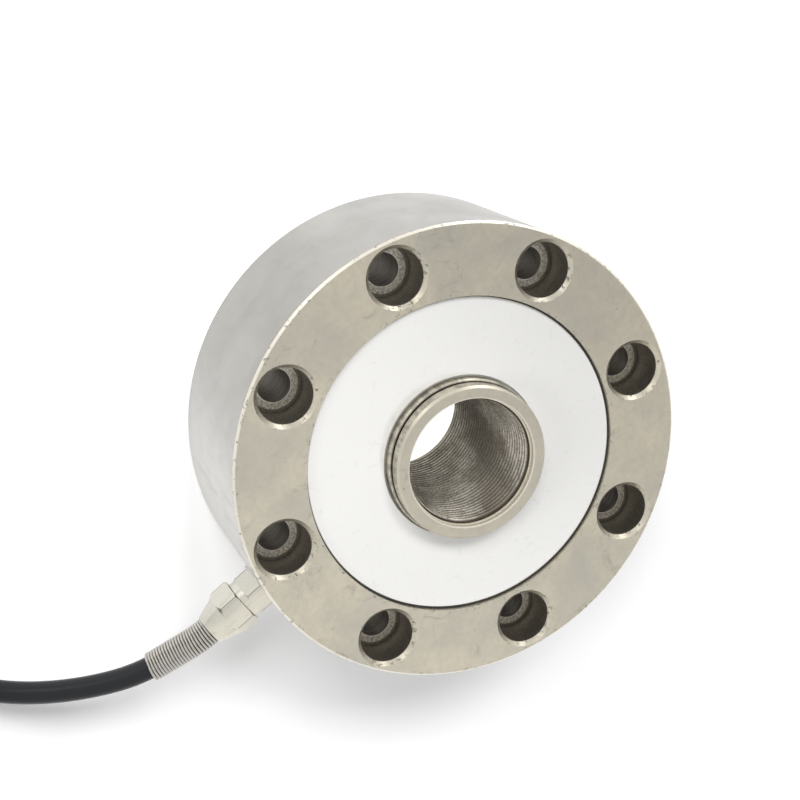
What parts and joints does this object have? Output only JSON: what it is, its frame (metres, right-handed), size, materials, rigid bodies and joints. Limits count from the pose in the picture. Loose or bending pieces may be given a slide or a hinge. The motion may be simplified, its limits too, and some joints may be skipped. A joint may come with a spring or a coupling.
{
  "type": "pancake load cell",
  "caption": "Spoke-type pancake load cell: a thick bolt-down ring with counterbored holes, a threaded centre hub, annular covers and a fixed side cable.",
  "frame": {"origin": "centre of the ring's back mounting face, on the load axis", "axes": "+Z along the load axis, from the back mounting face towards the hub's raised end face; +X along the cable gland"},
  "size_m": [0.2753, 0.1574, 0.0526],
  "materials": {
    "board_adhesive": "adhesive pad",
    "cable_jacket": "black cable jacket, semi-gloss",
    "shrink_sleeve": "black shrink sleeve",
    "tie_strap": "black hook-and-loop strap",
    "core_black": "black core insulation",
    "core_green": "green core insulation",
    "core_red": "red core insulation",
    "solder": "tinned solder",
    "core_white": "white core insulation",
    "spring_steel": "nickel-plated steel, satin, faintly stained",
    "cover_steel": "bright rolled stainless sheet",
    "sealant": "dark silicone sealant",
    "gauge_foil": "foil gauge on a polyimide carrier",
    "gland_nickel": "satin nickel plate on brass",
    "washer_steel": "stainless washer",
    "grommet_rubber": "black rubber",
    "spring_wire": "drawn stainless wire",
    "board_laminate": "glass-fibre laminate with green mask",
    "resistor_body": "moulded resistor"
  },
  "bodies": {
    "root": {"board_pad_left": "board_adhesive", "board_pad_right": "board_adhesive", "cable_coil": "cable_jacket", "cable_end_sleeve": "shrink_sleeve", "cable_inlet": "cable_jacket", "cable_tail": "cable_jacket", "cable_tube": "cable_jacket", "coil_tie": "tie_strap", "core_black": "core_black", "core_green": "core_green", "core_red": "core_red", "core_tips": "solder", "core_white": "core_white", "elastic_element": "spring_steel", "front_cover": "cover_steel", "front_inner_seal": "sealant", "front_outer_seal": "sealant", "gauge_1": "gauge_foil", "gauge_2": "gauge_foil", "gauge_3": "gauge_foil", "gauge_4": "gauge_foil", "gauge_5": "gauge_foil", "gauge_6": "gauge_foil", "gauge_7": "gauge_foil", "gauge_8": "gauge_foil", "gland_body": "gland_nickel", "gland_cap_nut": "gland_nickel", "gland_clamp_ring": "washer_steel", "gland_grommet": "grommet_rubber", "gland_washer": "washer_steel", "lead_black": "core_black", "lead_green": "core_green", "lead_red": "core_red", "lead_white": "core_white", "rear_cover": "cover_steel", "rear_inner_seal": "sealant", "rear_outer_seal": "sealant", "solder_pads": "solder", "strain_spring": "spring_wire", "terminal_board": "board_laminate", "trim_resistor_left": "resistor_body", "trim_resistor_right": "resistor_body"}
  },
  "joints": []
}
